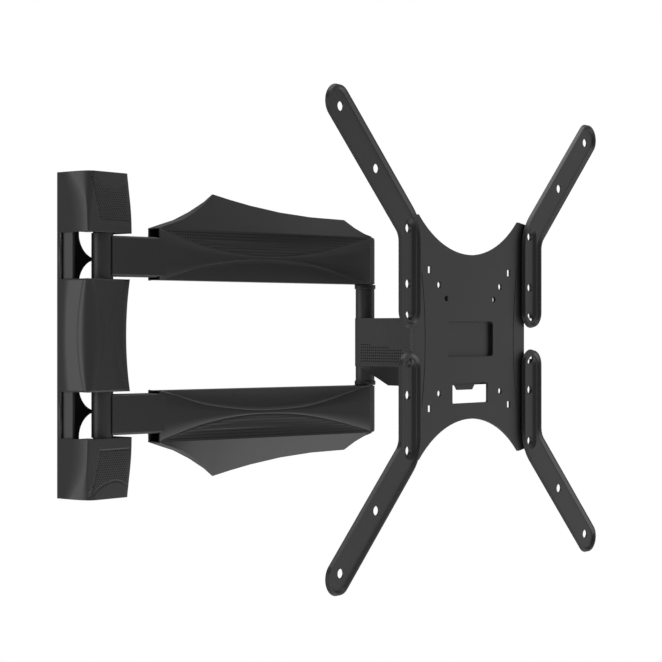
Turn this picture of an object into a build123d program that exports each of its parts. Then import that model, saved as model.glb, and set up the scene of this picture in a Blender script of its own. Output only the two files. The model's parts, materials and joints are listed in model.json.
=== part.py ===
"""Full motion TV wall mount: a wall plate, a pair of arms, a short link, a swivel head and a screen plate.

Frame: millimetres, +Z up, -Y into the room. The origin is the centre of the wall plate's back face.
At rest the screen plate is parallel to the wall. The arms leave the wall a little way out from it,
and the link stands square to the arms.
"""
from math import cos, radians, sin

from build123d import *
import os

os.makedirs("parts", exist_ok=True)

# ---- driving dimensions ------------------------------------------------------------------------
pivot_depth = 28.8        # wall pivot axis to the wall
arm_length = 311.3        # wall pivot to elbow
link_length = 97.0        # elbow to head pin
head_reach = 50.0         # head pin to the screen's bolting plane
arm_turn = 10.55          # how far the arms point out from the wall at rest
screen_drop = -3.67       # screen centre below the arms' middle plane
running = 0.05            # radial clearance of a pin in its bush
fit_gap = 0.02            # radial clearance of parts that stay together

# wall end
cover_half_width, cover_depth, cover_wall = 27.0, 39.4, 2.0
channel_half_width, channel_half_height, web = 24.9, 138.0, 2.5
flange_depth = 17.5
gap_low, gap_high = 49.9, 90.9      # the open gap in which an arm swings, above the middle plane
rim_depth = 4.9
opening_radius, opening_x, opening_limit = 22.0, 19.0, 21.0
opening_heights = (46.0, 91.0)
wall_bolt_height = 118.0
wall_bolt_radius = 3.5
ear = 2.6
ear_heights = (45.5, 92.6)
ear_radius = 8.0
# where the end cover's side face ends, seen from the side: depth and height
end_curve = [(16.7, 144.3), (22.0, 138.0), (29.2, 128.4), (34.8, 118.0), (37.8, 105.4), (38.6, 90.9)]
end_flat_low, end_flat_high = 24.0, 17.0   # half width of its flat front, at the gap and at the end
bevel_power = 2.8         # how square the rounded bevels are: 2 would be an ellipse
bevel_steps = 6
# centre cover's bevels: half width of the flat front and depth where the bevel starts
bevel_ends, bevel_middle = (20.9, 32.8), (8.0, 24.3)

# arms
pin_radius = 5.0
sleeve_radius = 9.4
bush_radius = 7.0
tube_half_width, tube_low, tube_high, tube_wall = 9.6, 52.4, 88.5, 2.0
tube_start = 4.7
wall_sleeve_low, wall_sleeve_high, wall_flange = 50.2, 90.6, 1.7
cover_back = 11.1         # half width of an arm cover
cover_low, cover_crease = 50.1, 96.6
arm_cover_start = 55.9
arm_cover_wall = 1.4
# fin stations: distance along the arm, height of its top, half width of its top
fin_stations = [
    (55.9, 97.2, 10.8), (83.0, 105.8, 8.2), (99.0, 113.9, 5.6), (114.0, 123.7, 2.6), (122.0, 130.8, 0.8),
    (142.0, 126.6, 0.8), (166.0, 122.2, 0.8), (202.0, 117.2, 0.8), (240.0, 114.2, 0.8), (283.0, 113.2, 0.8),
    (293.0, 105.4, 5.4), (303.0, 99.7, 9.1), (311.3, 97.2, 10.8),
]

# elbow and link
collar_radius, collar_low, collar_high = 10.4, 45.3, 49.8
elbow_sleeve_low, elbow_sleeve_high, elbow_sleeve_radius = 50.6, 94.4, 9.5
elbow_flange = 0.5
plate_thickness = 2.5
fork_top, fork_bottom, fork_half_width = 11.5, -29.0, 7.6
fork_radius = 9.0
link_cover_half, link_cover_top, link_cover_low = 10.0, 16.5, -31.0
link_cover_end, link_cover_wall = 79.0, 0.9
link_fin_low, link_fin_start, link_fin_full = -49.6, 4.5, 35.0

# head
head_pin_radius = 4.0
barrel_radius, barrel_low, barrel_high = 8.5, -25.4, 10.4
tilt_ahead = 22.0         # tilt bolt in front of the head pin
tilt_radius = 4.0
lug_half_width = 9.0
friction_disc = 0.7
ear_clearance = 0.3       # between the bracket's ears and the discs and washers beside them
bracket_ear = 2.5
ear_inner = 10.0

# screen plate
sheet = 2.5
plate_front = 5.7         # centre plate's front face behind the bolting plane
edge_arc, edge_arc_top, edge_arc_bottom = 115.0, 79.0, 75.0
plate_waist, plate_side, plate_turn = 91.8, 108.0, 82.0
waist_half_height = 15.0
emboss_width, emboss_height, emboss_depth = 80.0, 38.0, 3.5
window = (58.4, 18.7, -50.65)
crease_depth = 0.3
x_arm_back, x_arm_front = 31.0, 29.0
x_arm_thickness, x_arm_sheet = 3.7, 1.5
bend_radius = 30.0
leg_inner, leg_outer = 26.0, 100.0
tip_centre = 203.5
channel_wide, channel_floor, channel_depth = 17.0, 10.0, 4.2
hole_radius = 4.2
leg_holes = (21.3, 50.0, 100.0)
diagonal_holes = (150.0, 200.0)
panel_wide, panel_floor, panel_depth = 25.5, 21.5, 2.0

# ---- places ------------------------------------------------------------------------------------
arm_x = Vector(cos(radians(arm_turn)), -sin(radians(arm_turn)), 0)
arm_front = Vector(-sin(radians(arm_turn)), -cos(radians(arm_turn)), 0)
pivot = Vector(0, -pivot_depth, 0)
elbow = pivot + arm_x * arm_length
head = elbow + arm_front * link_length
screen_x = Vector(1, 0, 0)
screen_normal = Vector(0, -1, 0)
screen_centre = head + screen_normal * head_reach + Vector(0, 0, screen_drop)
tilt_centre = head + screen_normal * tilt_ahead + Vector(0, 0, screen_drop)


def level(height, centre=pivot):
    """A horizontal plane at that height, with its origin over centre and its X along the wall."""
    return Plane(origin=(centre.X, centre.Y, height))


def arm_level(height, centre=elbow):
    """A horizontal plane whose X runs along the arms and whose -Y runs along the link."""
    return Plane(origin=(centre.X, centre.Y, height), x_dir=arm_x, z_dir=(0, 0, 1))


def arm_section(along):
    """An upright plane across the arm, that far from the wall pivot. Its X points back to the wall."""
    return Plane(origin=pivot + arm_x * along, x_dir=-arm_front, z_dir=arm_x)


def head_level(height, centre=head):
    """A horizontal plane whose X runs along the screen plate's width."""
    return Plane(origin=(centre.X, centre.Y, height), x_dir=screen_x, z_dir=(0, 0, 1))


def screen_plane(forward):
    """A plane parallel to the screen, that far in front of the bolting plane (negative is behind)."""
    origin = screen_centre + screen_normal * forward
    return Plane(origin=origin, x_dir=screen_x, z_dir=screen_normal)


def save(piece, name):
    """Labels a finished piece and writes its STEP file."""
    piece.label = name
    export_step(piece, f"parts/{name}.step")


def save_pair(piece, name):
    """Writes the upper piece and its mirror image below the arms' middle plane."""
    save(piece, f"upper_{name}")
    save(mirror(piece, about=Plane.XY), f"lower_{name}")


# ---- wall end ----------------------------------------------------------------------------------


def wall_channel():
    """Pressed channel: web with openings beside the pivots and two bolt holes, and two side flanges."""
    with BuildPart() as channel:
        with BuildSketch(Plane.XZ):
            Rectangle(2 * channel_half_width, 2 * channel_half_height)
            with Locations((0, wall_bolt_height), (0, -wall_bolt_height)):
                Circle(wall_bolt_radius, mode=Mode.SUBTRACT)
        extrude(amount=web)
        with BuildSketch(Plane.XZ):
            with Locations([(opening_x, side * z) for side in (1, -1) for z in opening_heights]):
                Circle(opening_radius)
            with Locations((opening_limit - 100, 0)):
                Rectangle(200, 2 * channel_half_height, mode=Mode.INTERSECT)
        extrude(amount=web, mode=Mode.SUBTRACT)
        with BuildSketch(Plane.XZ):
            edge = channel_half_width - web / 2
            with Locations((-edge, 0), (edge, 0)):
                Rectangle(web, 2 * channel_half_height)
        extrude(amount=flange_depth)
    return channel.part


def pivot_ears():
    """Two steel ears that stand out of the channel above and below an arm's sleeve."""
    with BuildPart() as ears:
        for height in ear_heights:
            with BuildSketch(level(height)):
                Circle(ear_radius)
                with Locations((0, (pivot_depth - web) / 2)):
                    Rectangle(2 * ear_radius, pivot_depth - web)
                Circle(pin_radius + fit_gap, mode=Mode.SUBTRACT)
            extrude(amount=ear)
    return ears.part


def pivot_pin():
    """Shouldered pin with a round head over the upper ear."""
    low, high = ear_heights[0] - 3.5, ear_heights[1] + ear
    with BuildPart() as pin:
        with BuildSketch(level(low)):
            Circle(pin_radius)
        extrude(amount=high - low)
        with BuildSketch(level(high)):
            Circle(7.0)
        extrude(amount=3.5)
        chamfer(pin.edges().group_by(Axis.Z)[-1], 0.8)
    return pin.part


def pivot_nut():
    """Thin hexagon nut under the lower ear."""
    with BuildPart() as nut:
        with BuildSketch(level(ear_heights[0] - 3.2)):
            RegularPolygon(7.4, 6)
            Circle(pin_radius + fit_gap, mode=Mode.SUBTRACT)
        extrude(amount=3.1)
    return nut.part


def cover_outline(half, flat, start, deep, behind):
    """Plan outline of a cover: straight sides, rounded bevels and a flat front."""
    right = [(half, behind)]
    for step in range(bevel_steps + 1):
        angle = radians(90 * step / bevel_steps)
        across = max(cos(angle), 0) ** (2 / bevel_power)
        out = sin(angle) ** (2 / bevel_power)
        right.append((flat + (half - flat) * across, -start - (deep - start) * out))
    return right + [(-x, y) for x, y in reversed(right)]


def end_block(inset):
    """The end cover's outer form, or its hollow when inset is the wall's thickness."""
    behind = 1.0 if inset else 0.0
    span = end_curve[0][1] - gap_high
    with BuildPart() as block:
        for start, height in end_curve:
            flat = end_flat_low + (end_flat_high - end_flat_low) * (height - gap_high) / span
            place = gap_high - 1.0 if (inset and height == gap_high) else height - inset
            with BuildSketch(Plane.XY.offset(place)):
                with BuildLine():
                    Polyline(*cover_outline(cover_half_width - inset, flat - inset / 2, start - inset,
                                            cover_depth - inset, behind), close=True)
                make_face()
        loft(ruled=True)
    return block.part


def end_cover():
    """Moulded cover over one end of the channel: open at the wall and at the pivot gap."""
    form = end_block(0.0)
    hollow = end_block(cover_wall)
    with BuildPart() as cover:
        add(form)
        add(hollow, mode=Mode.SUBTRACT)
    return cover.part


def centre_block(inset):
    """The centre cover's form: its bevels are narrow at the ends and wide in the middle."""
    high = gap_low + (1.0 if inset else 0.0)
    behind = 1.0 if inset else 0.0
    with BuildPart() as block:
        for height, (flat, start) in ((-high, bevel_ends), (0, bevel_middle), (high, bevel_ends)):
            with BuildSketch(Plane.XY.offset(height)):
                with BuildLine():
                    Polyline(*cover_outline(cover_half_width - inset, flat - inset / 2, start - inset / 2,
                                            cover_depth - inset, behind), close=True)
                make_face()
        loft()
    return block.part


def centre_cover():
    """Moulded cover between the pivots, with thin rims that run past both gaps to the end covers."""
    form = centre_block(0.0)
    hollow = centre_block(cover_wall)
    rim_length = gap_high - gap_low - fit_gap
    with BuildPart() as cover:
        add(form)
        add(hollow, mode=Mode.SUBTRACT)
        for low in (gap_low, -gap_low - rim_length):
            with BuildSketch(Plane.XY.offset(low)):
                rim_middle = cover_half_width - cover_wall / 2
                with Locations((rim_middle, -rim_depth / 2), (-rim_middle, -rim_depth / 2)):
                    Rectangle(cover_wall, rim_depth)
            extrude(amount=rim_length)
    return cover.part


# ---- arms --------------------------------------------------------------------------------------
def arm_tube():
    """Rectangular steel tube between the two sleeves, notched to fit round them."""
    length = arm_length - 2 * tube_start
    tall = tube_high - tube_low
    with BuildPart() as tube:
        with BuildSketch(arm_section(tube_start)):
            with Locations((0, (tube_low + tube_high) / 2)):
                RectangleRounded(2 * tube_half_width, tall, 2.5)
                RectangleRounded(2 * (tube_half_width - tube_wall), tall - 2 * tube_wall, 1.0,
                                 mode=Mode.SUBTRACT)
        extrude(amount=length)
        for end, radius in ((pivot, sleeve_radius), (elbow, elbow_sleeve_radius)):
            with BuildSketch(level(tube_low - 1, end)):
                Circle(radius + fit_gap)
            extrude(amount=tall + 2, mode=Mode.SUBTRACT)
    return tube.part


def sleeve(centre, radius, low, high):
    """Round steel sleeve with a bore for its bushes."""
    with BuildPart() as body:
        with BuildSketch(level(low, centre)):
            Circle(radius)
            Circle(bush_radius + fit_gap, mode=Mode.SUBTRACT)
        extrude(amount=high - low)
    return body.part


def bushes(centre, low, high, flange):
    """A flanged nylon bush at each end of a sleeve."""
    length = 12.0
    with BuildPart() as pair:
        for start, flange_start in ((low, low - flange), (high - length, high)):
            with BuildSketch(level(start, centre)):
                Circle(bush_radius)
                Circle(pin_radius + running, mode=Mode.SUBTRACT)
            extrude(amount=length)
            with BuildSketch(level(flange_start, centre)):
                Circle(8.0)
                Circle(pin_radius + running, mode=Mode.SUBTRACT)
            extrude(amount=flange)
    return pair.part


def fin(inset, open_ends):
    """The pitched fin over an arm cover, or its hollow when inset is the wall's thickness."""
    base = cover_crease - inset - (0 if inset == 0 else 1)
    with BuildPart() as roof:
        for along, top, top_half in fin_stations:
            cut_end = top_half > 1.0
            raised = 2.0 if (open_ends and cut_end) else -1.4 * inset
            wide = cover_back - inset
            narrow = max(top_half - inset, 0.25)
            with BuildSketch(arm_section(along)):
                with BuildLine():
                    Polyline(
                        (-wide, base), (wide, base),
                        (narrow, top + raised), (-narrow, top + raised), close=True)
                make_face()
        loft(ruled=True)
    return roof.part


def arm_cover():
    """Moulded arm cover: a hollow box round the tube with a hollow pitched fin on its outer side."""
    length = arm_length - arm_cover_start
    tall = cover_crease - cover_low
    roof = fin(0.0, False)
    hollow = fin(1.5, True)
    with BuildPart() as cover:
        with BuildSketch(arm_section(arm_cover_start)):
            with Locations((0, (cover_low + cover_crease) / 2)):
                Rectangle(2 * cover_back, tall)
        extrude(amount=length)
        add(roof)
        add(hollow, mode=Mode.SUBTRACT)
        with BuildSketch(arm_section(arm_cover_start)):
            with Locations((0, (cover_low + cover_crease) / 2)):
                Rectangle(2 * (cover_back - arm_cover_wall), tall - 2 * arm_cover_wall)
        extrude(amount=length, mode=Mode.SUBTRACT)
        with BuildSketch(level(cover_low, elbow)):
            Circle(elbow_sleeve_radius + 0.3)
        extrude(amount=tall, mode=Mode.SUBTRACT)
    return cover.part


def elbow_plug():
    """Moulded plug that closes the outer end of an elbow sleeve."""
    with BuildPart() as plug:
        with BuildSketch(level(elbow_sleeve_high + elbow_flange, elbow)):
            Circle(elbow_sleeve_radius - 0.1)
        extrude(amount=1.5)
        chamfer(plug.edges().group_by(Axis.Z)[-1], 1.0)
    return plug.part


# ---- elbow and link ----------------------------------------------------------------------------
def elbow_tube():
    """Spacer tube between the arms, which turns with the link."""
    with BuildPart() as tube:
        with BuildSketch(level(-collar_low, elbow)):
            Circle(sleeve_radius)
            Circle(pin_radius + fit_gap, mode=Mode.SUBTRACT)
        extrude(amount=2 * collar_low)
    return tube.part


def elbow_collar():
    """Rounded nylon collar at the tube's upper end."""
    with BuildPart() as collar:
        with BuildSketch(level(collar_low, elbow)):
            Circle(collar_radius)
            Circle(pin_radius + fit_gap, mode=Mode.SUBTRACT)
        extrude(amount=collar_high - collar_low)
        fillet(collar.edges().filter_by(GeomType.CIRCLE).sort_by(SortBy.RADIUS)[-2:], 1.0)
    return collar.part


def elbow_pin():
    """Long pin through both elbow sleeves and the spacer tube."""
    reach = elbow_sleeve_high - 1
    with BuildPart() as pin:
        with BuildSketch(level(-reach, elbow)):
            Circle(pin_radius)
        extrude(amount=2 * reach)
        chamfer(pin.edges().filter_by(GeomType.CIRCLE), 0.6)
    return pin.part


def fork_plate(height):
    """One plate of the link's fork, from the spacer tube to a round eye at the head pin."""
    with BuildPart() as plate:
        with BuildSketch(arm_level(height)):
            with Locations((0, -link_length / 2)):
                Rectangle(2 * fork_half_width, link_length)
            with Locations((0, -link_length)):
                Circle(fork_radius)
                Circle(head_pin_radius + fit_gap, mode=Mode.SUBTRACT)
            Circle(sleeve_radius + fit_gap, mode=Mode.SUBTRACT)
        extrude(amount=plate_thickness)
    return plate.part


def link_web():
    """Upright web that ties the two fork plates together."""
    low, high = fork_bottom + plate_thickness, fork_top
    with BuildPart() as tie:
        with BuildSketch(arm_level(low)):
            with Locations((0, -44)):
                Rectangle(3.0, 60)
        extrude(amount=high - low)
    return tie.part


def link_profile(inset):
    """The link cover's box, wrapped round the spacer tube, or its hollow."""
    half = link_cover_half - inset
    end = link_cover_end + (1.0 if inset else 0.0)
    with BuildPart() as block:
        with BuildSketch(arm_level(link_cover_low + inset)):
            Circle(half)
            with Locations((0, -end / 2)):
                Rectangle(2 * half, end)
        extrude(amount=link_cover_top - link_cover_low - 2 * inset)
    return block.part


def link_fin(inset):
    """The link cover's lower fin: it slopes down from the elbow, and its sides meet in a ridge."""
    base = link_cover_low + 2 * inset
    past = 1.0 if inset else 0.0
    stations = [(link_fin_start + 2 * inset, link_cover_low - 1.0, link_cover_half - 0.6),
                (link_fin_full + 2 * inset, link_fin_low, 0.8), (link_cover_end + past, link_fin_low, 0.8)]
    with BuildPart() as roof:
        for along, low, low_half in stations:
            narrow = max(low_half - inset, 0.25)
            wide = link_cover_half - inset
            with BuildSketch(Plane(origin=elbow + arm_front * along, x_dir=arm_x, z_dir=arm_front)):
                with BuildLine():
                    Polyline((-wide, base), (wide, base), (narrow, low + 1.6 * inset),
                             (-narrow, low + 1.6 * inset), close=True)
                make_face()
        loft(ruled=True)
    return roof.part


def link_cover():
    """Moulded cover round the link: open at its far end, with a fin below."""
    pieces = [link_profile(0.0), link_fin(0.0)]
    hollows = [link_profile(link_cover_wall), link_fin(link_cover_wall)]
    with BuildPart() as cover:
        for piece in pieces:
            add(piece)
        for hollow in hollows:
            add(hollow, mode=Mode.SUBTRACT)
        with BuildSketch(level(link_fin_low - 1, elbow)):
            Circle(sleeve_radius + 0.05)
        extrude(amount=link_cover_top - link_fin_low + 2, mode=Mode.SUBTRACT)
    return cover.part


def head_pin():
    """Bolt through the fork and the head's barrel."""
    low, high = fork_bottom - 5.5, fork_top + plate_thickness
    with BuildPart() as bolt:
        with BuildSketch(level(low, head)):
            Circle(head_pin_radius)
        extrude(amount=high - low)
        with BuildSketch(level(high, head)):
            RegularPolygon(7.4, 6)
        extrude(amount=4.0)
    return bolt.part


def head_nut():
    """Locking nut under the fork."""
    with BuildPart() as nut:
        with BuildSketch(level(fork_bottom - 5.2, head)):
            RegularPolygon(7.4, 6)
            Circle(head_pin_radius + fit_gap, mode=Mode.SUBTRACT)
        extrude(amount=5.1)
    return nut.part


# ---- head --------------------------------------------------------------------------------------
def swivel_head():
    """Barrel on the head pin with a lug in front of it for the tilt bolt."""
    lug_low, lug_high = -10.0, 10.0
    with BuildPart() as body:
        with BuildSketch(head_level(barrel_low)):
            Circle(barrel_radius)
        extrude(amount=barrel_high - barrel_low)
        with BuildSketch(head_level(screen_drop + lug_low)):
            with Locations((0, -tilt_ahead / 2)):
                Rectangle(2 * lug_half_width, tilt_ahead)
        extrude(amount=lug_high - lug_low)
        tilt_side = Plane(origin=(tilt_centre - screen_x * lug_half_width),
                          x_dir=(0, 0, 1), z_dir=screen_x)
        with BuildSketch(tilt_side):
            Circle(lug_high)
        extrude(amount=2 * lug_half_width)
        with BuildSketch(tilt_side):
            Circle(tilt_radius + fit_gap)
        extrude(amount=2 * lug_half_width, mode=Mode.SUBTRACT)
        with BuildSketch(head_level(barrel_low)):
            Circle(head_pin_radius + running)
        extrude(amount=barrel_high - barrel_low, mode=Mode.SUBTRACT)
    return body.part


def head_washers():
    """Nylon washers above and below the barrel."""
    thickness = 0.8
    with BuildPart() as washers:
        for height in (barrel_low - thickness, barrel_high):
            with BuildSketch(head_level(height)):
                Circle(8.0)
                Circle(head_pin_radius + running, mode=Mode.SUBTRACT)
            extrude(amount=thickness)
    return washers.part


def tilt_slice(start, thickness, radius, sides=0, hole=0.0):
    """A disc or hexagon on the tilt axis, from start along the screen's width."""
    origin = tilt_centre + screen_x * start
    with BuildPart() as piece:
        with BuildSketch(Plane(origin=origin, x_dir=(0, 0, 1), z_dir=screen_x)):
            if sides:
                RegularPolygon(radius, sides)
            else:
                Circle(radius)
            if hole:
                Circle(hole, mode=Mode.SUBTRACT)
        extrude(amount=thickness)
    return piece.part


def tilt_bolt():
    """Bolt along the tilt axis, through the bracket's ears and the head's lug."""
    outer = ear_inner + bracket_ear
    with BuildPart() as bolt:
        add(tilt_slice(-outer - 1.4, 2 * outer + 9.4, tilt_radius))
        add(tilt_slice(-outer - 5.4, 4.0, 7.4, sides=6))
    return bolt.part


def friction_discs():
    """Discs between the lug and the ears, and a washer outside each ear."""
    outer = ear_inner + bracket_ear + ear_clearance
    hole = tilt_radius + fit_gap
    with BuildPart() as discs:
        add(tilt_slice(lug_half_width, friction_disc, 8.5, hole=hole))
        add(tilt_slice(-lug_half_width - friction_disc, friction_disc, 8.5, hole=hole))
        add(tilt_slice(outer, 1.0, 8.0, hole=hole))
        add(tilt_slice(-outer - 1.0, 1.0, 8.0, hole=hole))
    return discs.part


# ---- screen plate ------------------------------------------------------------------------------
def tilt_bracket():
    """Base plate welded to the back of the pressed recess, with two ears for the tilt bolt."""
    base_back = plate_front + sheet + emboss_depth
    ear_reach = head_reach - tilt_ahead - base_back
    with BuildPart() as bracket:
        with BuildSketch(screen_plane(-base_back)):
            with BuildLine():
                right = [(15.2, -47.8 + 4.5), (11.5, -47.8)]
                outline = [(46, 42), (46, -30), (34, -43.3), *right]
                Polyline(*outline, *[(-x, z) for x, z in reversed(outline)], close=True)
            make_face()
        extrude(amount=-bracket_ear)
        for side in (1, -1):
            start = ear_inner if side > 0 else -ear_inner - bracket_ear
            origin = tilt_centre + screen_x * start
            with BuildSketch(Plane(origin=origin, x_dir=screen_normal,
                                   z_dir=screen_x)):
                Circle(10)
                with Locations((ear_reach / 2, 0)):
                    Rectangle(ear_reach, 20)
                Circle(tilt_radius + running, mode=Mode.SUBTRACT)
            extrude(amount=bracket_ear)
    return bracket.part


def arc_height(across, apex):
    """Height of the plate's hollow edge at that distance from its middle."""
    return apex + edge_arc - (edge_arc**2 - across**2) ** 0.5


def plate_outline():
    """Outline of the centre plate: hollow arcs above and below, sides that step in at mid-height."""
    turn, side, waist = plate_turn, plate_side, waist_half_height
    top, bottom = arc_height(turn, edge_arc_top), -arc_height(turn, edge_arc_bottom)
    right = [(side, top - 4), (side, waist + 6), (plate_waist, waist), (plate_waist, -waist),
             (side, -waist - 6), (side, bottom + 4)]
    with BuildLine() as line:
        ThreePointArc((-turn, top), (0, edge_arc_top), (turn, top))
        Polyline((turn, top), *right, (turn, bottom))
        ThreePointArc((turn, bottom), (0, -edge_arc_bottom), (-turn, bottom))
        Polyline((-turn, bottom), *[(-x, z) for x, z in reversed(right)], (-turn, top))
    return line.line


def centre_plate():
    """Steel plate with a pressed recess, a window, and the 100 mm and middle hole patterns."""
    wide, tall, middle = window
    leg_rows = [side * z for side in (1, -1) for z in leg_holes]
    with BuildPart() as plate:
        with BuildSketch(screen_plane(-plate_front - sheet)):
            with BuildLine():
                add(plate_outline())
            make_face()
        extrude(amount=sheet)
        with BuildSketch(screen_plane(-plate_front - sheet)):
            RectangleRounded(emboss_width, emboss_height, 4)
        extrude(amount=-emboss_depth)
        with BuildSketch(screen_plane(-plate_front)):
            RectangleRounded(emboss_width - 2 * sheet, emboss_height - 2 * sheet, 3)
        extrude(amount=-emboss_depth, mode=Mode.SUBTRACT)
        with BuildSketch(screen_plane(-plate_front - sheet)):
            with Locations((0, middle)):
                RectangleRounded(wide, tall, 1.5)
            with Locations([(x, z) for x in (50, -50) for z in (50, -50)]):
                Circle(3.2)
            with Locations([(x, z) for x in (65, -65) for z in (63.5, -63.5)]):
                Rectangle(6, 6)
            with Locations((39, 37.5), (-39, 37.5)):
                Circle(2.8)
            with Locations([(x, z) for x in (100, -100) for z in leg_rows]):
                Circle(hole_radius + 0.8)
        extrude(amount=sheet, mode=Mode.SUBTRACT)
        with BuildSketch(screen_plane(-plate_front)):
            with BuildLine():
                ThreePointArc((79, 70), (72, 0), (79, -70))
                Line((79, -70), (80, -70))
                ThreePointArc((80, -70), (73, 0), (80, 70))
                Line((80, 70), (79, 70))
            make_face()
            mirror(about=Plane.YZ)
        extrude(amount=-crease_depth, mode=Mode.SUBTRACT)
    return plate.part


def x_arm_outline(width, forward):
    """Outline of that width round the X-arm's path: an upright leg that turns into a diagonal."""
    with BuildLine() as path:
        FilletPolyline((leg_outer, leg_inner), (leg_outer, leg_outer), (tip_centre, tip_centre),
                       radius=bend_radius)
    with BuildSketch(screen_plane(forward)) as outline:
        SlotArc(path.wire(), width)
    return outline.sketch


def hat(back_width, back, front_width, front):
    """Solid form tapered between two outlines of the X-arm."""
    with BuildPart() as form:
        add(x_arm_outline(back_width, back))
        add(x_arm_outline(front_width, front))
        loft()
    return form.part


def dish(extra, front, back):
    """Solid form of the leg's channel, tapered towards its floor."""
    leg = leg_outer - leg_inner
    with BuildPart() as form:
        for forward, width in ((front, channel_wide), (back, channel_floor)):
            with BuildSketch(screen_plane(forward)):
                with Locations((leg_outer, leg_inner + leg / 2)):
                    SlotCenterToCenter(leg, width + extra, rotation=90)
        loft()
    return form.part


def x_arm():
    """Pressed arm: a raised rim round a shallow panel, with a deeper channel down its leg."""
    shell = hat(x_arm_back, -x_arm_thickness, x_arm_front, 0)
    panel = hat(panel_wide, 0, panel_floor, -panel_depth)
    channel_shell = dish(2 * x_arm_sheet, -panel_depth - x_arm_sheet / 2, -plate_front)
    channel_hollow = dish(0.0, -panel_depth, -channel_depth)
    with BuildPart() as arm:
        add(shell)
        add(panel, mode=Mode.SUBTRACT)
        add(channel_shell)
        add(channel_hollow, mode=Mode.SUBTRACT)
        with BuildSketch(screen_plane(-plate_front)):
            with Locations([(leg_outer, z) for z in leg_holes] + [(d, d) for d in diagonal_holes]):
                Circle(hole_radius)
        extrude(amount=plate_front, mode=Mode.SUBTRACT)
    return arm.part


# ---- write every piece -------------------------------------------------------------------------
save(wall_channel(), "wall_channel")
save_pair(pivot_ears(), "pivot_ears")
save_pair(pivot_pin(), "pivot_pin")
save_pair(pivot_nut(), "pivot_nut")
save_pair(end_cover(), "end_cover")
save(centre_cover(), "centre_cover")

save_pair(arm_tube(), "arm_tube")
save_pair(sleeve(pivot, sleeve_radius, wall_sleeve_low, wall_sleeve_high), "wall_sleeve")
save_pair(bushes(pivot, wall_sleeve_low, wall_sleeve_high, wall_flange), "wall_bushes")
save_pair(sleeve(elbow, elbow_sleeve_radius, elbow_sleeve_low, elbow_sleeve_high), "elbow_sleeve")
save_pair(bushes(elbow, elbow_sleeve_low, elbow_sleeve_high, elbow_flange), "elbow_bushes")
save_pair(elbow_plug(), "elbow_plug")
save_pair(arm_cover(), "arm_cover")

save(elbow_tube(), "elbow_tube")
save_pair(elbow_collar(), "elbow_collar")
save(elbow_pin(), "elbow_pin")
save(fork_plate(fork_top), "upper_fork_plate")
save(fork_plate(fork_bottom), "lower_fork_plate")
save(link_web(), "link_web")
save(link_cover(), "link_cover")
save(head_pin(), "head_pin")
save(head_nut(), "head_nut")

save(swivel_head(), "swivel_head")
save(head_washers(), "head_washers")
save(tilt_bolt(), "tilt_bolt")
save(tilt_slice(ear_inner + bracket_ear + 1.4, 5.0, 7.4, sides=6, hole=tilt_radius + fit_gap), "tilt_nut")
save(friction_discs(), "friction_discs")

save(tilt_bracket(), "tilt_bracket")
save(centre_plate(), "centre_plate")
upper_right = x_arm()
across = Plane(origin=screen_centre, z_dir=screen_x)
middle_plane = Plane(origin=screen_centre, z_dir=(0, 0, 1))
upper_left = mirror(upper_right, about=across)
save(upper_right, "x_arm_upper_right")
save(upper_left, "x_arm_upper_left")
save(mirror(upper_right, about=middle_plane), "x_arm_lower_right")
save(mirror(upper_left, about=middle_plane), "x_arm_lower_left")
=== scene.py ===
import bmesh
import bpy
import json
import math
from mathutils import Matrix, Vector


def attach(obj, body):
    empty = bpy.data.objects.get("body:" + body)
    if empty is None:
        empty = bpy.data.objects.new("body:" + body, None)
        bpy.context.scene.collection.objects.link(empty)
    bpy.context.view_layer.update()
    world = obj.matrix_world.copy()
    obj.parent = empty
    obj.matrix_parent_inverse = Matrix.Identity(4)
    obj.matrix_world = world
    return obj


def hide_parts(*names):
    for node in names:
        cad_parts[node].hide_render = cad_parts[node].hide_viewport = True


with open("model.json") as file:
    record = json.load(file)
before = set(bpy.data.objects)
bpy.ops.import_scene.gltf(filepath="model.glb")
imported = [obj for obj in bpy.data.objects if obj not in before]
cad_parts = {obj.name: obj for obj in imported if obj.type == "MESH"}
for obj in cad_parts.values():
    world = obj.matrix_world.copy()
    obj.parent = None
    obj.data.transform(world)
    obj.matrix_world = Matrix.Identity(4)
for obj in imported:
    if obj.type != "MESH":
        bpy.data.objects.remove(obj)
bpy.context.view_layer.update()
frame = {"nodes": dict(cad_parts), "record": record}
MM = 0.001

# ---- places, in millimetres in the row frame -------------------------------------------------
TURN = math.radians(10.55)
ALONG = Vector((math.cos(TURN), -math.sin(TURN), 0))
OUT = Vector((-math.sin(TURN), -math.cos(TURN), 0))
PIVOT = Vector((0, -28.8, 0))
ELBOW = PIVOT + ALONG * 311.3
UP = Vector((0, 0, 1))


def curve(points, x):
    """Smooth height at x through the given points, level beyond the ends."""
    if x <= points[0][0]:
        return points[0][1]
    for i in range(len(points) - 1):
        (x0, y0), (x1, y1) = points[i], points[i + 1]
        if x <= x1:
            before = points[max(i - 1, 0)]
            after = points[min(i + 2, len(points) - 1)]
            m0 = (y1 - before[1]) / (x1 - before[0])
            m1 = (after[1] - y0) / (after[0] - x0)
            h = x1 - x0
            t = (x - x0) / h
            return ((2 * t**3 - 3 * t**2 + 1) * y0 + (t**3 - 2 * t**2 + t) * h * m0
                    + (3 * t**2 - 2 * t**3) * y1 + (t**3 - t**2) * h * m1)
    return points[-1][1]


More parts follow.
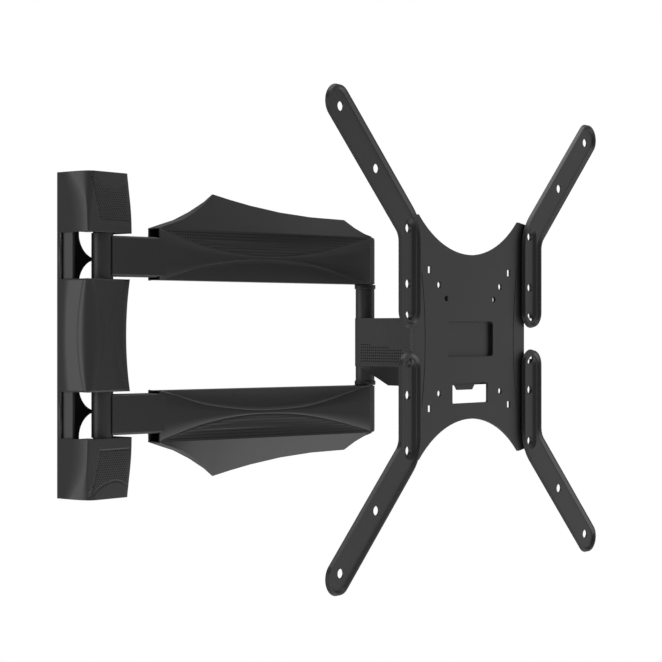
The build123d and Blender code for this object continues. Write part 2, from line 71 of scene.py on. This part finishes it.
# ---- materials -------------------------------------------------------------------------------
def material(name, colour, spread, roughness, grain_mm, grain_height, blotch=0.08, metallic=0.0):
    """Black finish with a fine grain, slow changes of shade and slightly uneven gloss."""
    mat = bpy.data.materials.new(name)
    mat.use_nodes = True
    nodes, links = mat.node_tree.nodes, mat.node_tree.links
    shader = nodes["Principled BSDF"]
    shader.inputs["Metallic"].default_value = metallic
    where = nodes.new("ShaderNodeTexCoord")
    fine = nodes.new("ShaderNodeTexNoise")
    fine.inputs["Scale"].default_value = 1000 / grain_mm
    fine.inputs["Detail"].default_value = 3
    slow = nodes.new("ShaderNodeTexNoise")
    slow.inputs["Scale"].default_value = 14
    slow.inputs["Detail"].default_value = 4
    ramp = nodes.new("ShaderNodeValToRGB")
    low = [c * (1 - spread) for c in colour] + [1]
    high = [c * (1 + spread) for c in colour] + [1]
    ramp.color_ramp.elements[0].position, ramp.color_ramp.elements[1].position = 0.35, 0.68
    ramp.color_ramp.elements[0].color, ramp.color_ramp.elements[1].color = low, high
    gloss = nodes.new("ShaderNodeMapRange")
    gloss.inputs["To Min"].default_value = roughness - blotch / 2
    gloss.inputs["To Max"].default_value = roughness + blotch / 2
    bump = nodes.new("ShaderNodeBump")
    bump.inputs["Strength"].default_value = grain_height
    bump.inputs["Distance"].default_value = 0.0002
    for noise in (fine, slow):
        links.new(where.outputs["Object"], noise.inputs["Vector"])
    links.new(fine.outputs["Fac"], ramp.inputs["Fac"])
    links.new(ramp.outputs["Color"], shader.inputs["Base Color"])
    links.new(slow.outputs["Fac"], gloss.inputs["Value"])
    links.new(gloss.outputs["Result"], shader.inputs["Roughness"])
    links.new(fine.outputs["Fac"], bump.inputs["Height"])
    links.new(bump.outputs["Normal"], shader.inputs["Normal"])
    return mat


MATS = {
    "cover_plastic": material("cover_plastic", (0.022, 0.022, 0.023), 0.12, 0.42, 0.5, 0.25),
    "frame_steel": material("frame_steel", (0.02, 0.02, 0.021), 0.15, 0.46, 0.8, 0.3),
    "screen_plate_steel": material("screen_plate_steel", (0.010, 0.010, 0.0105), 0.18, 0.40, 0.8, 0.2),
    "fastener_steel": material("fastener_steel", (0.05, 0.05, 0.052), 0.2, 0.34, 0.4, 0.1, metallic=1.0),
    # dots: near-black with almost no specular, painted shade that makes the raised dots read as shadowed
    # dimples
    "dots_painted_shade": material("dots_painted_shade", (0.003, 0.003, 0.003), 0.3, 0.7, 0.5, 0.1),
    "nylon": material("nylon", (0.012, 0.012, 0.012), 0.1, 0.5, 0.6, 0.1),
}


# the dots' finish loses almost all its specular, part of the same painted shade
MATS["dots_painted_shade"].node_tree.nodes["Principled BSDF"].inputs["Specular IOR Level"].default_value = 0.05


# ---- mesh helpers ----------------------------------------------------------------------------
def build(name, verts, faces, sharp, body, nodes=(), thickness=0.0, slot="cover_plastic", finish=None):
    """Makes a smooth-shaded piece from points in mm, with the given edges kept crisp."""
    mesh = bpy.data.meshes.new(name)
    mesh.from_pydata([tuple(Vector(v) * MM) for v in verts], [], faces)
    mesh.validate()
    for polygon in mesh.polygons:
        polygon.use_smooth = True
    crisp = {tuple(sorted(edge)) for edge in sharp}
    for edge in mesh.edges:
        if tuple(sorted(edge.vertices)) in crisp:
            edge.use_edge_sharp = True
    piece = bpy.data.objects.new(name, mesh)
    bpy.context.scene.collection.objects.link(piece)
    if thickness:
        shell = piece.modifiers.new("wall", "SOLIDIFY")
        shell.thickness = thickness * MM
        shell.offset = -1
    mesh.materials.append(MATS[finish or slot])
    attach(piece, body)
    if nodes:
        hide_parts(*nodes)
    return piece


def sheet(rows, crisp_columns=(), closed=False):
    """Vertices, faces and crisp edges of a grid of points."""
    count = len(rows[0])
    verts = [point for row in rows for point in row]
    faces, sharp = [], []
    for i in range(len(rows) - 1):
        for j in range(count if closed else count - 1):
            k = (j + 1) % count
            faces.append((i * count + j, i * count + k, (i + 1) * count + k, (i + 1) * count + j))
        for j in crisp_columns:
            sharp.append((i * count + j, (i + 1) * count + j))
    return verts, faces, sharp


def add_dot(verts, faces, centre, normal, side, radius=0.75, height=0.35):
    """A small raised dome on a surface."""
    other = normal.cross(side).normalized()
    start = len(verts)
    for k in range(8):
        angle = k * math.pi / 4
        verts.append(centre + (side * math.cos(angle) + other * math.sin(angle)) * radius)
    verts.append(centre + normal * height)
    for k in range(8):
        faces.append((start + k, start + (k + 1) % 8, start + 8))


def orient(piece):
    """Points every face outward."""
    work = bmesh.new()
    work.from_mesh(piece.data)
    bmesh.ops.recalc_face_normals(work, faces=work.faces)
    middle = sum((face.calc_center_median() for face in work.faces), Vector()) / len(work.faces)
    outward = sum(face.normal.dot(face.calc_center_median() - middle) * face.calc_area() for face in work.faces)
    if outward < 0:
        bmesh.ops.reverse_faces(work, faces=work.faces)
    work.to_mesh(piece.data)
    work.free()


# ---- arm covers ------------------------------------------------------------------------------
HALF, LOW, CREASE, START, END = 11.1, 50.1, 96.6, 55.9, 311.3
ARC_HIGH = [(56, 95.8), (61.4, 93.6), (104, 81.6), (153.9, 74.8), (205.8, 75.1), (240.7, 79.2),
            (271.4, 85.4), (304, 93.3), (311.3, 95.6)]
ARC_LOW = [(56, 50.6), (65.8, 52.6), (105.1, 63.3), (151.6, 69.6), (185, 70.8), (224.4, 68.7),
           (249.6, 64.4), (304, 51.3), (311.3, 50.6)]
FIN = [(55.9, 97.2), (83, 105.8), (99, 113.9), (114, 123.7), (122, 130.8), (142, 126.6), (166, 122.2),
       (202, 117.2), (240, 114.2), (283, 113.2), (293, 105.4), (303, 99.7), (311.3, 97.2)]
FIN_HALF = [(55.9, 10.8), (83, 8.2), (99, 5.6), (114, 2.6), (122, 0.8), (283, 0.8), (293, 5.4), (303, 9.1),
            (311.3, 10.8)]


# columns of the arm cover's grid that stay crisp: its corners, arcs and ridge
CREASE_COLUMNS = (0, 7, 12, 21, 23, 24, 26, 35, 40, 47)


def linear(points, x):
    """Straight-line height at x."""
    for (x0, y0), (x1, y1) in zip(points, points[1:]):
        if x <= x1:
            return y0 + (y1 - y0) * max(0.0, x - x0) / (x1 - x0)
    return points[-1][1]


def face_depth(s, z):
    """How far an arm cover's broad face stands out at that place."""
    depth = HALF - 0.1 - 1.5 * ((s - 200) / 145) ** 2
    high, low = curve(ARC_HIGH, s), curve(ARC_LOW, s)
    if z > high:
        t = (z - high) / (CREASE - high)
        depth -= 1.5 * ((CREASE - high) / 22) * 4 * t * (1 - t)
    elif z < low:
        t = (z - LOW) / (low - LOW)
        depth -= 0.9 * ((low - LOW) / 20.7) * 4 * t * (1 - t)
    for edge in (high, low):
        depth -= 0.5 * max(0.0, 1 - abs(z - edge) / 0.7)
    return depth


def arm_point(s, b, z, side):
    """A point in an arm's own directions, above or below the middle plane."""
    point = PIVOT + ALONG * s + OUT * b
    point.z = z * side
    return point


def arm_cover(side, label):
    stations = [START + (END - START) * i / 110 for i in range(111)]
    stations = sorted(set(stations + [122.0, 283.0]))
    rows = []
    for s in stations:
        high, low = curve(ARC_HIGH, s), curve(ARC_LOW, s)
        ease = min(0.7, (low - LOW) / 3, (CREASE - high) / 3)
        heights = ([LOW + (low - ease - LOW) * i / 6 for i in range(7)] + [low]
                   + [low + ease + (high - low - 2 * ease) * i / 3 for i in range(4)] + [high]
                   + [high + ease + (CREASE - high - ease) * i / 8 for i in range(9)])
        front = [arm_point(s, face_depth(s, z), z, side) for z in heights]
        back = [arm_point(s, -face_depth(s, z), z, side) for z in reversed(heights)]
        top, half = linear(FIN, s), linear(FIN_HALF, s)
        edge = face_depth(s, CREASE)
        half = min(half, edge - 0.1)
        roof = [arm_point(s, b, z, side) for b, z in
                ((edge + (half - edge) / 2, (CREASE + top) / 2), (half, top), (-half, top),
                 (-edge - (half - edge) / 2, (CREASE + top) / 2))]
        ring = front + roof + back
        rows.append(ring)
    verts, faces, sharp = sheet(rows, CREASE_COLUMNS, closed=True)
    count = len(rows[0])
    before_ridge = sum(1 for s in stations if s < 122)
    roof_gap = {i * count + 24 for i in range(before_ridge)}
    faces = [face for face in faces if face[0] not in roof_gap]
    faces.append(tuple(range(len(verts) - count, len(verts))))
    name = f"{label}_arm_cover_shell"
    shell = build(name, verts, faces, sharp, "arms", (f"{label}_arm_cover",), 1.3)
    orient(shell)
    dots, tops = [], []
    for face in (1, -1):
        for row in range(7):
            z = CREASE - 2.2 - 2.75 * row
            for k in range(82):
                s = 60 + 3.0 * k
                if z < curve(ARC_HIGH, s) + 1.3:
                    continue
                b = face_depth(s, z)
                add_dot(dots, tops, arm_point(s, (b - 0.05) * face, z, side), OUT * face, ALONG)
    # the arm cover dots take the painted-shade finish
    build(f"{label}_arm_cover_dots", dots, tops, (), "arms", finish="dots_painted_shade")


arm_cover(1, "upper")
arm_cover(-1, "lower")


# ---- wall covers -----------------------------------------------------------------------------
WIDE, DEEP, POWER = 27.0, 39.4, 2.8


def bevel(flat, start, steps):
    """Rounded bevel from the side face to the flat front: half widths and depths."""
    points = []
    for i in range(steps + 1):
        angle = math.pi / 2 * i / steps
        across = max(math.cos(angle), 0) ** (2 / POWER)
        points.append((flat + (WIDE - flat) * across, start + (DEEP - start) * math.sin(angle) ** (2 / POWER)))
    return points


def centre_cover():
    rows = []
    for i in range(49):
        z = -49.9 + 99.8 * i / 48
        k = (z / 49.9) ** 2
        flat = 8.0 + (20.9 - 8.0) * k
        start = 24.3 + (32.8 - 24.3) * k
        right = [(WIDE, 0), (WIDE, -start / 2)] + [(x, -y) for x, y in bevel(flat, start, 10)]
        crease = 0.7
        right[2] = (WIDE - crease, -start)
        right[12] = (flat, crease - DEEP)
        middle = [(flat * (1 - j / 3), -DEEP) for j in range(1, 3)] + [(0, -DEEP)]
        half = right + middle
        ring = half + [(-x, y) for x, y in reversed(half[:-1])]
        rows.append([Vector((x, y, z)) for x, y in ring])
    last = len(rows[0]) - 1
    verts, faces, sharp = sheet(rows, (2, 12, last - 12, last - 2))
    for side in (1, -1):
        for low in (49.9, -90.8):
            start = len(verts)
            for z in (low, low + 40.9):
                for x, y in ((25, 0), (27, 0), (27, -4.9), (25, -4.9)):
                    verts.append(Vector((x * side, y, z)))
            for j in range(4):
                k = (j + 1) % 4
                faces.append((start + j, start + k, start + 4 + k, start + 4 + j))
            sharp += [(start + j, start + 4 + j) for j in range(4)]
    shell = build("centre_cover_shell", verts, faces, sharp, "wall", ("centre_cover",), 1.2)
    orient(shell)


PROFILE = [(90.9, 38.6), (105.4, 37.8), (118, 34.8), (128.4, 29.2), (138, 22.0), (144.3, 16.7)]


def end_cover(side, label):
    def arc(x):
        return 129 + (0.0150 if x < 6 else 0.0230) * (x - 6) ** 2

    def left_edge(z):
        return -24 + 12 * max(0.0, (139 - z) / 38) ** 0.8

    def surface(x, z):
        """Depth of the front at that place, before its grooves."""
        flat = 24 - 7 * (z - 90.9) / 53.4
        start = curve(PROFILE, z)
        if abs(x) <= flat:
            return DEEP
        t = min(1.0, (abs(x) - flat) / (WIDE - flat))
        return start + (DEEP - start) * max(0.0, 1 - t ** POWER) ** (1 / POWER)

    def depth(x, z):
        deep = surface(x, z)
        if left_edge(z) < x < 24 and 101 < z:
            gap = min(x - left_edge(z), 24 - x, z - 101, abs(arc(x) - z))
            deep -= 0.35 if z < arc(x) else 0.0
            deep -= 0.7 * max(0.0, 1 - gap / 0.9)
        return deep

    columns = [-WIDE, -26.9, -26.6, -26.1] + [-25.5 + 51 * j / 68 for j in range(69)] + [26.1, 26.6, 26.9, WIDE]
    rows = []
    for i in range(73):
        z = 90.9 + 53.4 * i / 72
        ring = [Vector((x, -(surface(x, z) if i in (0, 72) else depth(x, z)), z * side)) for x in columns]
        rows.append([Vector((-WIDE, 0, z * side))] + ring + [Vector((WIDE, 0, z * side))])
    last = len(rows[0]) - 1
    verts, faces, sharp = sheet(rows, (1, last - 1))
    count = len(rows[0])
    faces.append(tuple(range(len(verts) - count, len(verts))))
    sharp += [(len(verts) - count + j, len(verts) - count + j + 1) for j in range(count - 1)]
    shell = build(f"{label}_end_cover_shell", verts, faces, sharp, "wall", (f"{label}_end_cover",), 1.3)
    orient(shell)
    dots, tops = [], []
    for i in range(20):
        z = 102.5 + 2.0 * i
        for j in range(24):
            x = -24 + 2.8 * j + (1.4 if i % 2 else 0)
            if x > 22 or x < left_edge(z) + 1 or z > arc(x) - 1.5:
                continue
            at = Vector((x, -depth(x, z) + 0.05, z * side))
            slope = (surface(x + 0.2, z) - surface(x - 0.2, z)) / 0.4
            normal = Vector((-slope, -1, 0)).normalized()
            add_dot(dots, tops, at, normal, normal.cross(UP).normalized(), 0.6, 0.35)
    # the end cover dots take the painted-shade finish
    build(f"{label}_end_cover_dots", dots, tops, (), "wall", finish="dots_painted_shade")


centre_cover()
end_cover(1, "upper")
end_cover(-1, "lower")

# ---- dots on the link cover ------------------------------------------------------------------
dots, tops = [], []
for face in (1, -1):
    for row in range(7):
        z = -9.6 - 2.7 * row
        for k in range(24):
            t = 6 + 3.0 * k
            if z > -9.0 - 9.0 * (t / 79) ** 2:
                continue
            at = ELBOW + OUT * t - ALONG * (10.0 * face)
            at.z = z
            add_dot(dots, tops, at, -ALONG * face, OUT)
# the link cover dots take the painted-shade finish
build("link_cover_dots", dots, tops, (), "link", finish="dots_painted_shade")

# ---- finishes on the CAD nodes ---------------------------------------------------------------
slots = {entry["node"]: entry["material_slot"] for entry in frame["record"]["subparts"]}
for node, piece in frame["nodes"].items():
    piece.data.materials.clear()
    piece.data.materials.append(MATS[slots[node]])

# ---- floor, light and camera -----------------------------------------------------------------
bpy.ops.mesh.primitive_circle_add(vertices=96, radius=1.6, fill_type="NGON", location=(0.25, -0.2, -0.8))
floor = bpy.context.object
floor.name = "floor"
pale = bpy.data.materials.new("pale_floor")
pale.use_nodes = True
pale.node_tree.nodes["Principled BSDF"].inputs["Base Color"].default_value = (0.85, 0.85, 0.85, 1)
pale.node_tree.nodes["Principled BSDF"].inputs["Roughness"].default_value = 0.7
floor.data.materials.append(pale)


def softbox(name, place, size, tall, power):
    """A rectangular area light that faces the mount."""
    light = bpy.data.lights.new(name, "AREA")
    light.shape = "RECTANGLE"
    light.size, light.size_y, light.energy = size, tall, power
    lamp = bpy.data.objects.new(name, light)
    bpy.context.scene.collection.objects.link(lamp)
    lamp.location = place
    lamp.rotation_euler = (Vector((0.2, -0.13, 0)) - lamp.location).to_track_quat("-Z", "Y").to_euler()


softbox("left_softbox", Vector((-1.9, 1.1, 0.0)), 1.8, 2.2, 24)
softbox("right_softbox", Vector((2.1, -1.5, 0.0)), 1.8, 2.2, 6)
softbox("top_softbox", Vector((0.2, -0.4, 2.0)), 2.0, 1.6, 34)
softbox("low_softbox", Vector((0.2, -0.4, -0.78)), 1.6, 1.2, 10)

world = bpy.data.worlds.new("white")
bpy.context.scene.world = world
world.use_nodes = True
nodes, links = world.node_tree.nodes, world.node_tree.links
sky = nodes["Background"]
sky.inputs["Color"].default_value = (1, 1, 1, 1)
rays = nodes.new("ShaderNodeLightPath")
amount = nodes.new("ShaderNodeMapRange")
amount.inputs["To Min"].default_value = 0.28
amount.inputs["To Max"].default_value = 1.0
links.new(rays.outputs["Is Camera Ray"], amount.inputs["Value"])
links.new(amount.outputs["Result"], sky.inputs["Strength"])

scene = bpy.context.scene
scene.view_settings.view_transform = "Standard"
camera_data = bpy.data.cameras.new("camera")
camera_data.lens, camera_data.sensor_width = 100.55, 36
camera_data.clip_end = 20
camera = bpy.data.objects.new("camera", camera_data)
scene.collection.objects.link(camera)
camera.location = (-1.146, -1.2179, 0.00386)
camera.rotation_euler = Vector((0.7772, 0.6293, 0)).to_track_quat("-Z", "Y").to_euler()
scene.camera = camera

bpy.context.view_layer.update()
